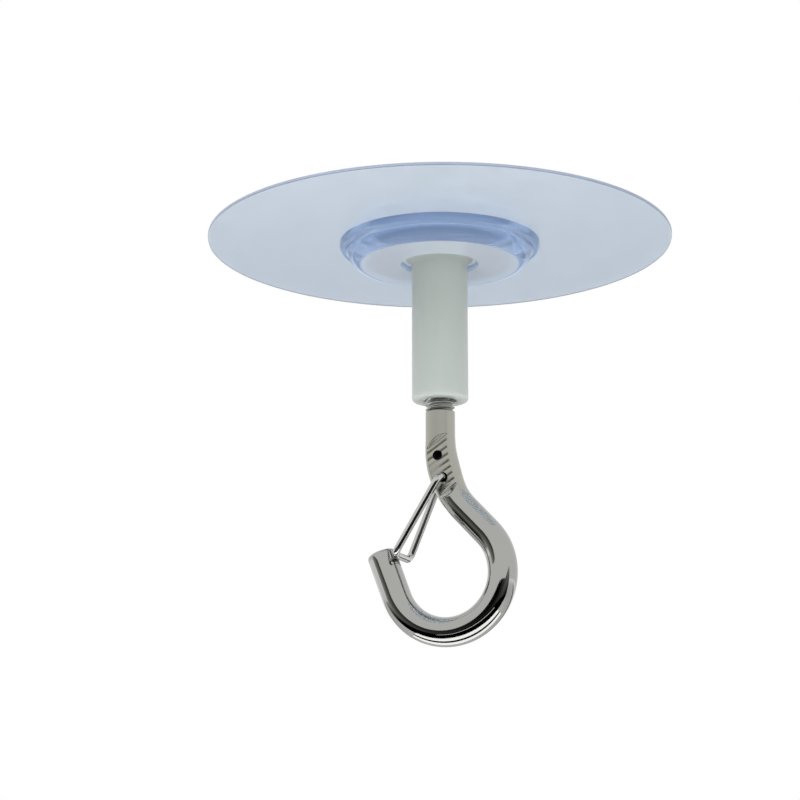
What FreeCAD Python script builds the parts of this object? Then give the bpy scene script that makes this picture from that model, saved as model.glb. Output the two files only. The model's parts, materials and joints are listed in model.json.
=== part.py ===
import FreeCAD
import Part
import Sketcher
import math
import os

doc = FreeCAD.newDocument("ceiling_hook")

# Every size of the part, in millimetres and degrees.
SIZES = [
    ("film_diameter", 80.0),
    ("film_thickness", 0.5),
    ("adhesive_thickness", 0.2),
    ("adhesive_margin", 0.5),
    ("boss_height", 3.9),
    ("boss_face_wall", 1.2),
    ("boss_side_wall", 3.3),
    ("boss_draft", 0.5),
    ("boss_shoulder_radius", 1.6),
    ("boss_rim_width", 1.4),
    ("boss_rim_thickness", 1.3),
    ("boss_rim_radius", 0.5),
    ("boss_hole_clearance", 0.1),
    ("flange_width", 5.8),
    ("flange_clearance", 0.2),
    ("flare_radius", 1.8),
    ("pillar_diameter", 9.6),
    ("pillar_length", 24.2),
    ("pillar_end_radius", 0.5),
    ("bore_spare", 2.0),
    ("bore_mouth_clearance", 0.3),
    ("bore_mouth_depth", 0.9),
    ("thread_depth", 0.4),
    ("thread_clearance", 0.05),
    ("thread_engaged", 12.0),
    ("thread_exposed", 2.0),
    ("thread_end_chamfer", 0.5),
    ("bar_diameter", 5.0),
    ("shank_chamfer", 0.3),
    ("shank_length", 5.95),
    ("neck_radius", 16.0),
    ("leg_angle", 43.2),
    ("leg_length", 5.7),
    ("ring_radius", 9.7),
    ("nose_lean", 20.5),
    ("nose_length", 8.1),
    ("nose_edge_radius", 0.6),
    ("press_depth", 0.7),
    ("press_margin", 1.65),
    ("press_rise", 0.3),
    ("press_slant", 38.0),
    ("swelling_length", 15.0),
    ("swelling_width", 6.0),
    ("swelling_thickness", 4.8),
    ("swelling_drop", 0.5),
    ("serration_pitch", 1.0),
    ("serration_depth", 0.18),
    ("serration_width", 0.6),
    ("pivot_drop", 11.55),
    ("anchor_drop", 7.7),
    ("gate_wire_diameter", 1.25),
    ("gate_hole_clearance", 0.07),
    ("gate_side_clearance", 0.35),
    ("gate_rest_clearance", 0.1),
    ("gate_seat_drop", 2.15),
    ("gate_bend_radius", 0.9),
    ("gate_pin_setback", 0.5),
    ("fillet_limit", 0.9),
]

sheet = doc.addObject("Spreadsheet::Sheet", "sizes")
for row, (alias, size) in enumerate(SIZES, start=1):
    sheet.set(f"A{row}", alias)
    sheet.set(f"B{row}", str(size))
    sheet.setAlias(f"B{row}", alias)
doc.recompute()


def value(formula):
    """The number that a formula of the sheet gives now."""
    result = sheet.evalExpression(formula)
    return float(getattr(result, "Value", result))


# Depths below the ceiling, and radii about the axis, that several pieces share.
FILM_UNDER = "(sizes.adhesive_thickness + sizes.film_thickness)"
BOSS_FACE = f"({FILM_UNDER} + sizes.boss_height)"
BOSS_CEILING = f"({BOSS_FACE} - sizes.boss_face_wall)"
PILLAR_END = f"({BOSS_FACE} + sizes.pillar_length)"
SHANK_TOP = f"({PILLAR_END} + sizes.thread_exposed)"
PILLAR_RADIUS = "(sizes.pillar_diameter / 2)"
FLARE_RADIUS = f"({PILLAR_RADIUS} + sizes.flare_radius)"
FLANGE_RADIUS = f"({FLARE_RADIUS} + sizes.flange_width)"
CAVITY_RADIUS = f"({FLANGE_RADIUS} + sizes.flange_clearance)"
BAR_RADIUS = "(sizes.bar_diameter / 2)"
CORE_RADIUS = f"({BAR_RADIUS} - sizes.thread_depth)"
BORE_RADIUS = f"({CORE_RADIUS} + sizes.thread_clearance)"
BORE_MOUTH = f"({BAR_RADIUS} + sizes.bore_mouth_clearance)"

# Points of the hook's middle line: x to the right of the axis, drop below the shank's top.
LEG = "(sizes.leg_angle * 1 deg)"
NOSE = "(sizes.nose_lean * 1 deg)"
NECK_END_X = f"(sizes.neck_radius * (1 - cos({LEG})))"
NECK_END_DROP = f"(sizes.shank_length + sizes.neck_radius * sin({LEG}))"
LEG_END_X = f"({NECK_END_X} + sizes.leg_length * sin({LEG}))"
LEG_END_DROP = f"({NECK_END_DROP} + sizes.leg_length * cos({LEG}))"
RING_X = f"({LEG_END_X} - sizes.ring_radius * cos({LEG}))"
RING_DROP = f"({LEG_END_DROP} + sizes.ring_radius * sin({LEG}))"
RING_END_X = f"({RING_X} - sizes.ring_radius * cos({NOSE}))"
RING_END_DROP = f"({RING_DROP} + sizes.ring_radius * sin({NOSE}))"
NOSE_END_X = f"({RING_END_X} - sizes.nose_length * sin({NOSE}))"
NOSE_END_DROP = f"({RING_END_DROP} - sizes.nose_length * cos({NOSE}))"


def on_middle_line(drop):
    """How far the bent shank's middle line stands off the axis at a drop."""
    bend = f"max(0; {drop} - sizes.shank_length)"
    return f"(sizes.neck_radius - sqrt(sizes.neck_radius ^ 2 - ({bend}) ^ 2))"


# The gate: its pivot and anchor lie on the middle line, its bar against the inside of the nose.
PIVOT_X = on_middle_line("sizes.pivot_drop")
ANCHOR_X = on_middle_line("sizes.anchor_drop")
WIRE_RADIUS = "(sizes.gate_wire_diameter / 2)"
GATE_REST = f"({BAR_RADIUS} + sizes.gate_rest_clearance + {WIRE_RADIUS})"
GATE_BAR_X = f"({NOSE_END_X} + sizes.gate_seat_drop * sin({NOSE}) + {GATE_REST} * cos({NOSE}))"
GATE_BAR_DROP = (f"({NOSE_END_DROP} + sizes.gate_seat_drop * cos({NOSE})"
                 f" - {GATE_REST} * sin({NOSE}))")
GATE_HALF_WIDTH = f"({BAR_RADIUS} + sizes.gate_side_clearance + {WIRE_RADIUS})"

# The pressed flats: centred between the two holes, a little above their middle.
PRESS_HALF = f"({BAR_RADIUS} - sizes.press_depth)"
PRESS_DROP = "((sizes.pivot_drop + sizes.anchor_drop) / 2 - sizes.press_rise)"
PRESS_X = f"(({PIVOT_X} + {ANCHOR_X}) / 2)"
PRESS_HALF_LENGTH = "((sizes.pivot_drop - sizes.anchor_drop) / 2 + sizes.press_margin)"
SWELLING_DROP = f"({PRESS_DROP} + sizes.swelling_drop)"
SWELLING_LEAN = f"(asin(max(0; {SWELLING_DROP} - sizes.shank_length) / sizes.neck_radius) / 2)"
SERRATIONS = f"floor(2 * {PRESS_HALF_LENGTH} / sizes.serration_pitch)"
CUT_LENGTH = "sizes.bar_diameter * 3"

PLANE_NORMAL = FreeCAD.Vector(0, 0, 1)


def body_named(name):
    body = doc.addObject("PartDesign::Body", name)
    body.Label = name
    return body


def plane_of(body, role):
    return next(f for f in body.Origin.OriginFeatures if f.Role == role)


def sketch_on(body, role, name):
    sketch = body.newObject("Sketcher::SketchObject", name)
    sketch.AttachmentSupport = [(plane_of(body, role), "")]
    sketch.MapMode = "FlatFace"
    sketch.Visibility = False
    return sketch


def turned_sketch(body, name, x, drop, angle):
    """A sketch across the hook: its height line leans by an angle, its origin at x and drop."""
    sketch = sketch_on(body, "YZ_Plane", name)
    sketch.AttachmentOffset = FreeCAD.Placement(
        FreeCAD.Vector(0, 0, 0), FreeCAD.Rotation(FreeCAD.Vector(1, 0, 0), value(angle)))
    sketch.setExpression("AttachmentOffset.Base.y", f"-({SHANK_TOP} + {drop})")
    sketch.setExpression("AttachmentOffset.Base.z", x)
    sketch.setExpression("AttachmentOffset.Rotation.Angle", angle)
    return sketch


def bind(sketch, kind, places, name, formula):
    """A named dimension, bound to the sheet."""
    at = sketch.addConstraint(Sketcher.Constraint(kind, *places, value(formula)))
    sketch.renameConstraint(at, name)
    sketch.setExpression(f"Constraints.{name}", formula)


def place(sketch, geometry, end, name, across, up):
    """Fix a point at its distances from the sketch's origin; a distance of None is zero."""
    for axis, line, formula in (("X", -2, across), ("Y", -1, up)):
        if formula is None:
            sketch.addConstraint(Sketcher.Constraint("PointOnObject", geometry, end, line))
        elif value(formula) >= 0:
            bind(sketch, "Distance" + axis, (-1, 1, geometry, end), f"{name}_{axis.lower()}", formula)
        else:
            bind(sketch, "Distance" + axis, (geometry, end, -1, 1), f"{name}_{axis.lower()}",
                 f"-({formula})")


def at_point(across, up):
    return FreeCAD.Vector(value(across or "0"), value(up or "0"), 0)


def add_outline(sketch, corners):
    """One closed outline of straight lines through corners given as formulas."""
    first = sketch.GeometryCount
    count = len(corners)
    for i in range(count):
        ends = at_point(*corners[i]), at_point(*corners[(i + 1) % count])
        sketch.addGeometry(Part.LineSegment(*ends), False)
    for i in range(count):
        following = first + (i + 1) % count
        sketch.addConstraint(Sketcher.Constraint("Coincident", first + i, 2, following, 1))
    for i, (across, up) in enumerate(corners):
        place(sketch, first + i, 1, f"corner_{first + i}", across, up)


def add_circle(sketch, name, across, up, radius):
    at = sketch.GeometryCount
    sketch.addGeometry(Part.Circle(at_point(across, up), PLANE_NORMAL, value(radius)), False)
    bind(sketch, "Radius", (at,), f"{name}_radius", radius)
    place(sketch, at, 3, name, across, up)


def pad_disc(body, name, radius, top, thickness):
    sketch = sketch_on(body, "XY_Plane", f"{name}_outline")
    sketch.setExpression("AttachmentOffset.Base.z", f"-({top})")
    add_circle(sketch, name, None, None, radius)
    pad = body.newObject("PartDesign::Pad", name)
    pad.Profile = sketch
    pad.Reversed = True
    pad.setExpression("Length", thickness)
    doc.recompute()
    return pad


def revolve(body, name, corners):
    """A turned solid; each corner of its half profile is a radius and a depth."""
    sketch = sketch_on(body, "XZ_Plane", f"{name}_profile")
    add_outline(sketch, [(radius, f"-({depth})") for radius, depth in corners])
    turned = body.newObject("PartDesign::Revolution", name)
    turned.Profile = sketch
    turned.ReferenceAxis = (sketch, ["V_Axis"])
    turned.Angle = 360.0
    doc.recompute()
    return turned


def circles_at(shape, radius, centre):
    """Names of the shape's full circles of this radius round this centre."""
    names = []
    for i, edge in enumerate(shape.Edges, start=1):
        curve = edge.Curve
        if not isinstance(curve, Part.Circle) or abs(curve.Radius - radius) > 0.01:
            continue
        if curve.Center.distanceToPoint(centre) < 0.01:
            names.append(f"Edge{i}")
    if not names:
        raise ValueError(f"no circle of radius {radius} at {centre}")
    return names


def ring_edge(feature, radius, depth):
    centre = FreeCAD.Vector(0, 0, -value(depth))
    return circles_at(feature.Shape, value(radius), centre)


def fillet(body, name, base, edges, radius, room):
    """Round edges, by no more than most of the wall that they have room on."""
    rounded = body.newObject("PartDesign::Fillet", name)
    rounded.Base = (base, edges)
    rounded.setExpression("Radius", f"min({radius}; sizes.fillet_limit * ({room}))")
    doc.recompute()
    return rounded


def cut_through(body, name, sketch):
    pocket = body.newObject("PartDesign::Pocket", name)
    pocket.Profile = sketch
    pocket.Midplane = True
    pocket.setExpression("Length", CUT_LENGTH)
    before = pocket.BaseFeature.Shape.Volume
    doc.recompute()
    if pocket.Shape.Volume >= before:
        raise RuntimeError(f"{name} cuts nothing")
    return pocket


def pipe(body, name, profile, spine):
    bent = body.newObject("PartDesign::AdditivePipe", name)
    bent.Profile = profile
    bent.Spine = (spine, [f"Edge{i + 1}" for i in range(spine.GeometryCount)])
    doc.recompute()
    return bent


def make_adhesive_pad():
    """The sticky layer that meets the ceiling."""
    body = body_named("adhesive_pad")
    pad_disc(body, "adhesive_layer", "sizes.film_diameter / 2 - sizes.adhesive_margin",
             "0", "sizes.adhesive_thickness")
    return body


def make_film_disc():
    """The clear soft sheet that carries the adhesive."""
    body = body_named("film_disc")
    pad_disc(body, "film_sheet", "sizes.film_diameter / 2", "sizes.adhesive_thickness",
             "sizes.film_thickness")
    return body


def make_clear_boss():
    """The clear cap whose rim is welded to the film; it traps the pillar's flange."""
    body = body_named("clear_boss")
    side = f"({CAVITY_RADIUS} + sizes.boss_side_wall)"
    rim = f"({side} + sizes.boss_rim_width)"
    face = f"({side} - sizes.boss_draft)"
    hole = f"({FLARE_RADIUS} + sizes.boss_hole_clearance)"
    rim_under = f"({FILM_UNDER} + sizes.boss_rim_thickness)"
    turned = revolve(body, "boss_turned", [
        (CAVITY_RADIUS, FILM_UNDER),
        (rim, FILM_UNDER),
        (rim, rim_under),
        (side, rim_under),
        (face, BOSS_FACE),
        (hole, BOSS_FACE),
        (hole, BOSS_CEILING),
        (CAVITY_RADIUS, BOSS_CEILING),
    ])
    shoulder = fillet(body, "boss_shoulder", turned, ring_edge(turned, face, BOSS_FACE),
                      "sizes.boss_shoulder_radius",
                      "sizes.boss_height - sizes.boss_rim_thickness - sizes.boss_rim_radius")
    edges = ring_edge(shoulder, rim, rim_under) + ring_edge(shoulder, side, rim_under)
    fillet(body, "boss_rim_edge", shoulder, edges, "sizes.boss_rim_radius",
           "min(sizes.boss_rim_thickness; sizes.boss_rim_width / 2)")
    return body


def make_pillar():
    """The milky sleeve: it flares into its flange in the boss; its bore is open below."""
    body = body_named("pillar")
    mouth_top = f"({PILLAR_END} - sizes.bore_mouth_depth)"
    bore_top = f"({PILLAR_END} - sizes.thread_engaged - sizes.bore_spare)"
    turned = revolve(body, "pillar_turned", [
        (None, FILM_UNDER),
        (FLANGE_RADIUS, FILM_UNDER),
        (FLANGE_RADIUS, BOSS_CEILING),
        (PILLAR_RADIUS, BOSS_CEILING),
        (PILLAR_RADIUS, PILLAR_END),
        (BORE_MOUTH, PILLAR_END),
        (BORE_MOUTH, mouth_top),
        (BORE_RADIUS, mouth_top),
        (BORE_RADIUS, bore_top),
        (None, bore_top),
    ])
    flare = fillet(body, "pillar_flare", turned, ring_edge(turned, PILLAR_RADIUS, BOSS_CEILING),
                   "sizes.flare_radius", "sizes.flange_width + sizes.flare_radius")
    fillet(body, "pillar_end_edge", flare, ring_edge(flare, PILLAR_RADIUS, PILLAR_END),
           "sizes.pillar_end_radius", f"{PILLAR_RADIUS} - {BORE_MOUTH}")
    return body


def hook_path(body):
    """The hook's middle line: shank, neck bend, leg, ring and nose, each tangent to the next."""
    path = sketch_on(body, "XZ_Plane", "hook_path")

    def at(x, drop):
        return at_point(x, f"-({SHANK_TOP} + {drop})")

    neck_centre = at("sizes.neck_radius", "sizes.shank_length")
    ring_centre = at(RING_X, RING_DROP)
    neck = Part.Circle(neck_centre, PLANE_NORMAL, value("sizes.neck_radius"))
    ring = Part.Circle(ring_centre, PLANE_NORMAL, value("sizes.ring_radius"))
    leg = math.radians(value("sizes.leg_angle"))
    nose = math.radians(value("sizes.nose_lean"))
    neck_start = at("0", "sizes.shank_length")
    neck_end = at(NECK_END_X, NECK_END_DROP)
    leg_end = at(LEG_END_X, LEG_END_DROP)
    ring_end = at(RING_END_X, RING_END_DROP)
    nose_end = at(NOSE_END_X, NOSE_END_DROP)
    path.addGeometry(Part.LineSegment(at("0", "0"), neck_start), False)
    path.addGeometry(Part.ArcOfCircle(neck, math.pi, math.pi + leg), False)
    path.addGeometry(Part.LineSegment(neck_end, leg_end), False)
    path.addGeometry(Part.ArcOfCircle(ring, math.pi + nose, 2 * math.pi + leg), False)
    path.addGeometry(Part.LineSegment(ring_end, nose_end), False)
    path.addConstraint(Sketcher.Constraint("Vertical", 0))
    path.addConstraint(Sketcher.Constraint("Tangent", 0, 2, 1, 1))
    path.addConstraint(Sketcher.Constraint("Tangent", 1, 2, 2, 1))
    path.addConstraint(Sketcher.Constraint("Tangent", 2, 2, 3, 2))
    path.addConstraint(Sketcher.Constraint("Tangent", 3, 1, 4, 1))
    place(path, 0, 1, "shank_top", None, f"-{SHANK_TOP}")
    bind(path, "Distance", (0,), "shank_length", "sizes.shank_length")
    bind(path, "Radius", (1,), "neck_radius", "sizes.neck_radius")
    bind(path, "Distance", (2,), "leg_length", "sizes.leg_length")
    bind(path, "DistanceX", (2, 1, 2, 2), "leg_reach", f"sizes.leg_length * sin({LEG})")
    bind(path, "Radius", (3,), "ring_radius", "sizes.ring_radius")
    bind(path, "Distance", (4,), "nose_length", "sizes.nose_length")
    bind(path, "DistanceX", (4, 2, 4, 1), "nose_reach", f"sizes.nose_length * sin({NOSE})")
    doc.recompute()
    return path, FreeCAD.Vector(nose_end.x, 0, nose_end.y)


def add_pressed_flats(body):
    """The bar swells outwards where it is pressed; two slanted flats with ramped ends stay."""
    swell = body.newObject("PartDesign::AdditiveEllipsoid", "press_swelling")
    swell.AttachmentSupport = [(plane_of(body, "XY_Plane"), "")]
    swell.MapMode = "FlatFace"
    swell.AttachmentOffset = FreeCAD.Placement(
        FreeCAD.Vector(0, 0, 0), FreeCAD.Rotation(FreeCAD.Vector(0, -1, 0), value(SWELLING_LEAN)))
    swell.setExpression("AttachmentOffset.Base.x", on_middle_line(SWELLING_DROP))
    swell.setExpression("AttachmentOffset.Base.z", f"-({SHANK_TOP} + {SWELLING_DROP})")
    swell.setExpression("AttachmentOffset.Rotation.Angle", SWELLING_LEAN)
    swell.setExpression("Radius1", "sizes.swelling_length / 2")
    swell.setExpression("Radius2", "sizes.swelling_width / 2")
    swell.setExpression("Radius3", "sizes.swelling_thickness / 2")
    doc.recompute()

    slant = "(-sizes.press_slant * 1 deg)"
    flats = turned_sketch(body, "press_flats", PRESS_X, PRESS_DROP, slant)
    outside = "sizes.bar_diameter"
    ramp_end = f"({PRESS_HALF_LENGTH} + {outside} - {PRESS_HALF})"
    for sign in ("", "-"):
        add_outline(flats, [
            (f"{sign}{PRESS_HALF}", f"-{PRESS_HALF_LENGTH}"),
            (f"{sign}{PRESS_HALF}", PRESS_HALF_LENGTH),
            (f"{sign}{outside}", ramp_end),
            (f"{sign}{outside}", f"-{ramp_end}"),
        ])
    doc.recompute()
    cut_through(body, "pressed_flats", flats)

    nick = turned_sketch(body, "serration_nick", PRESS_X, PRESS_DROP, slant)
    low = f"(({SERRATIONS} - 1) * sizes.serration_pitch / 2)"
    mouth = f"({PRESS_HALF} + sizes.serration_depth)"
    for sign in ("", "-"):
        add_outline(nick, [
            (f"{sign}({PRESS_HALF} - sizes.serration_depth)", f"-{low}"),
            (f"{sign}{mouth}", f"-({low} + sizes.serration_width)"),
            (f"{sign}{mouth}", f"-({low} - sizes.serration_width)"),
        ])
    doc.recompute()
    first = cut_through(body, "first_serration", nick)
    pattern = body.newObject("PartDesign::LinearPattern", "serrations")
    pattern.Originals = [first]
    pattern.Direction = (nick, ["V_Axis"])
    pattern.setExpression("Length", f"({SERRATIONS} - 1) * sizes.serration_pitch")
    pattern.setExpression("Occurrences", SERRATIONS)
    body.Tip = pattern
    doc.recompute()


def make_hook():
    """One bent bar: threaded stud on top, pressed flats at the gate, open nose."""
    body = body_named("hook")
    path, nose_end = hook_path(body)
    section = sketch_on(body, "XY_Plane", "bar_section")
    section.setExpression("AttachmentOffset.Base.z", f"-{SHANK_TOP}")
    add_circle(section, "bar", None, None, BAR_RADIUS)
    doc.recompute()
    bar = pipe(body, "bent_bar", section, path)
    fillet(body, "nose_edge", bar, circles_at(bar.Shape, value(BAR_RADIUS), nose_end),
           "sizes.nose_edge_radius", BAR_RADIUS)

    stud_top = f"({PILLAR_END} - sizes.thread_engaged)"
    shank_edge = f"({SHANK_TOP} - sizes.shank_chamfer)"
    revolve(body, "threaded_stud", [
        (None, stud_top),
        (f"{CORE_RADIUS} - sizes.thread_end_chamfer", stud_top),
        (CORE_RADIUS, f"{stud_top} + sizes.thread_end_chamfer"),
        (CORE_RADIUS, shank_edge),
        (f"{BAR_RADIUS} - sizes.shank_chamfer", shank_edge),
        (BAR_RADIUS, SHANK_TOP),
        (None, SHANK_TOP),
    ])
    add_pressed_flats(body)

    holes = sketch_on(body, "XZ_Plane", "gate_holes")
    hole_radius = f"{WIRE_RADIUS} + sizes.gate_hole_clearance"
    add_circle(holes, "pivot", PIVOT_X, f"-({SHANK_TOP} + sizes.pivot_drop)", hole_radius)
    add_circle(holes, "anchor", ANCHOR_X, f"-({SHANK_TOP} + sizes.anchor_drop)", hole_radius)
    doc.recompute()
    cut_through(body, "gate_holes_drilled", holes)
    return body


def gate_leg_path(body, name, side, x, drop, pin_end):
    """Half of the gate in one plane: out along the bar, up the leg and in towards its hole."""
    reach = f"({x} - {GATE_BAR_X})"
    fall = f"({GATE_BAR_DROP} - {drop})"
    length = f"hypot({reach}; {fall})"
    path = turned_sketch(body, name, x, drop, f"atan2({reach}; {fall})")
    bend = value("sizes.gate_bend_radius")
    out = side * value(GATE_HALF_WIDTH)
    near = out - side * bend
    foot = -value(length)
    low = Part.Circle(FreeCAD.Vector(near, foot + bend, 0), PLANE_NORMAL, bend)
    high = Part.Circle(FreeCAD.Vector(near, -bend, 0), PLANE_NORMAL, bend)
    quarter = math.pi / 2
    low_start = 3 * quarter if side > 0 else 2 * quarter
    high_start = 0 if side > 0 else quarter
    path.addGeometry(Part.LineSegment(FreeCAD.Vector(0, foot, 0), FreeCAD.Vector(near, foot, 0)), False)
    path.addGeometry(Part.ArcOfCircle(low, low_start, low_start + quarter), False)
    path.addGeometry(
        Part.LineSegment(FreeCAD.Vector(out, foot + bend, 0), FreeCAD.Vector(out, -bend, 0)), False)
    path.addGeometry(Part.ArcOfCircle(high, high_start, high_start + quarter), False)
    begin, end = (1, 2) if side > 0 else (2, 1)
    path.addConstraint(Sketcher.Constraint("Horizontal", 0))
    path.addConstraint(Sketcher.Constraint("Vertical", 2))
    path.addConstraint(Sketcher.Constraint("Tangent", 0, 2, 1, begin))
    path.addConstraint(Sketcher.Constraint("Tangent", 1, end, 2, 1))
    path.addConstraint(Sketcher.Constraint("Tangent", 2, 2, 3, begin))
    path.addConstraint(Sketcher.Constraint("Equal", 1, 3))
    bind(path, "Radius", (1,), "bend_radius", "sizes.gate_bend_radius")
    place(path, 0, 1, "bar_middle", None, f"-{length}")
    ends = (-1, 1, 2, 1) if side > 0 else (2, 1, -1, 1)
    bind(path, "DistanceX", ends, "half_width", GATE_HALF_WIDTH)
    path.addConstraint(Sketcher.Constraint("PointOnObject", 3, end, -1))
    path.addConstraint(Sketcher.Constraint("Vertical", 3, end, 3, 3))
    if pin_end:
        path.addGeometry(
            Part.LineSegment(FreeCAD.Vector(near, 0, 0), at_point(pin_end, None)), False)
        path.addConstraint(Sketcher.Constraint("Coincident", 3, end, 4, 1))
        place(path, 4, 2, "pin_end", pin_end, None)
    doc.recompute()
    return path


def make_gate_wire():
    """One bent spring wire: a pin in the lower hole, a bar on the nose, an end at the upper hole."""
    body = body_named("gate_wire")
    section = sketch_on(body, "XZ_Plane", "wire_section")
    add_circle(section, "wire", GATE_BAR_X, f"-({SHANK_TOP} + {GATE_BAR_DROP})", WIRE_RADIUS)
    doc.recompute()
    front = gate_leg_path(body, "front_leg_path", -1, PIVOT_X, "sizes.pivot_drop",
                          f"{PRESS_HALF} - sizes.gate_pin_setback")
    pipe(body, "front_leg", section, front)
    back = gate_leg_path(body, "back_leg_path", 1, ANCHOR_X, "sizes.anchor_drop", None)
    pipe(body, "back_leg", section, back)
    return body


bodies = [make_adhesive_pad(), make_film_disc(), make_clear_boss(), make_pillar(), make_hook(),
          make_gate_wire()]
doc.recompute()

for item in doc.Objects:
    if "Invalid" in item.State or "Error" in item.State:
        raise RuntimeError(f"{item.Name} failed: {item.State}")
for body in bodies:
    shape = body.Shape
    if shape.isNull() or not shape.isValid() or len(shape.Solids) != 1:
        raise RuntimeError(f"{body.Label} is not one valid solid")

os.makedirs("parts", exist_ok=True)
for body in bodies:
    body.Shape.exportStep(f"parts/{body.Label}.step")
    print(f"{body.Label:14s} {body.Shape.Volume:9.2f} mm3")
for name, x, drop in (("gate pivot", PIVOT_X, "sizes.pivot_drop"),
                      ("gate anchor", ANCHOR_X, "sizes.anchor_drop"),
                      ("gate bar", GATE_BAR_X, GATE_BAR_DROP),
                      ("ring centre", RING_X, RING_DROP),
                      ("nose end", NOSE_END_X, NOSE_END_DROP)):
    print(f"{name:14s} x {value(x):8.3f}  z {-value(SHANK_TOP) - value(drop):8.3f}")
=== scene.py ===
import json
import math

import bmesh
import bpy
from bmesh.types import BMEdge, BMVert
from bpy.props import FloatProperty, FloatVectorProperty, IntProperty, PointerProperty
from mathutils import Matrix, Vector


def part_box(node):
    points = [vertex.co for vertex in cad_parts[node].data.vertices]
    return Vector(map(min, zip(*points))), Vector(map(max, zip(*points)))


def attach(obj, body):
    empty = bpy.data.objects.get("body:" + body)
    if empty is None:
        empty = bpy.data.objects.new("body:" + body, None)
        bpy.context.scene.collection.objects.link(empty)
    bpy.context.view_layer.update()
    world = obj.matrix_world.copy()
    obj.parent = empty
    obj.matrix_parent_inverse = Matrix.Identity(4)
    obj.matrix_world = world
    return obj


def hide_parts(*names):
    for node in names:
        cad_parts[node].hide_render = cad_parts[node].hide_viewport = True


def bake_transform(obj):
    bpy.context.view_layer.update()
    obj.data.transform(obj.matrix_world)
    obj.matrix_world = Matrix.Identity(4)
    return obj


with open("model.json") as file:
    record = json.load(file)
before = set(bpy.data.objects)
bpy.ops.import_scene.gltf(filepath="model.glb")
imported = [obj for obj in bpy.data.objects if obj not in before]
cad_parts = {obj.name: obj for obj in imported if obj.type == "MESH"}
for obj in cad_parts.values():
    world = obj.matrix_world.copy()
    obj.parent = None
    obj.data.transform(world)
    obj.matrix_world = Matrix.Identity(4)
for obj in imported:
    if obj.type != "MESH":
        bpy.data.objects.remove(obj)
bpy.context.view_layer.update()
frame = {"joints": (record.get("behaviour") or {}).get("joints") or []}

bl_info = {
    "name": "Stick-on Ceiling Hook",
    "version": (1, 0, 0),
    "blender": (4, 5, 0),
    "location": "View3D > Sidebar > Ceiling Hook",
    "description": "Dresses a ceiling hook: clear disc and boss, milky sleeve, steel hook, wire gate",
    "category": "Object",
}

JOINTS = {joint["name"]: joint for joint in frame["joints"]}
PIVOT = Vector(JOINTS["gate_swing"]["pos_m"])
MM = 0.001
TINY = 1e-7
QUARTER_TURN = math.radians(90)
WHITE = (1.0, 1.0, 1.0)
BLACK = (0.0, 0.0, 0.0)
ALL_AXES = (1.0, 1.0, 1.0)

# Lamps: name, place, size and power
LAMPS = (
    ("key_light", (-0.45, -0.55, 0.45), 0.6, 3.0),
    ("fill_light", (0.60, -0.35, 0.15), 0.5, 1.5),
    ("under_light", (0.05, -0.25, -0.38), 0.5, 1.5),
)
LAMP_AIM = Vector((0.0, 0.0, -0.04))


def length(name, description, millimetres):
    """A size of a piece, written in millimetres and kept in metres."""
    return FloatProperty(name=name, description=description, default=millimetres * MM,
                         precision=5, unit="LENGTH")


def metres(name, description, default):
    """A size or place on the stage."""
    return FloatProperty(name=name, description=description, default=default, unit="LENGTH")


def angle(name, description, degrees):
    """An angle, written in degrees and kept in radians."""
    return FloatProperty(name=name, description=description, default=math.radians(degrees),
                         subtype="ANGLE")


def factor(name, description, default):
    """A share from 0 to 1."""
    return FloatProperty(name=name, description=description, default=default,
                         min=0.0, max=1.0, subtype="FACTOR")


def amount(name, description, default):
    """A strength, a density or a steepness."""
    return FloatProperty(name=name, description=description, default=default, min=0.0)


def count(name, description, default):
    return IntProperty(name=name, description=description, default=default, min=8)


def colour(name, description, default):
    return FloatVectorProperty(name=name, description=description, default=default,
                               subtype="COLOR", min=0.0, max=1.0)


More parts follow.
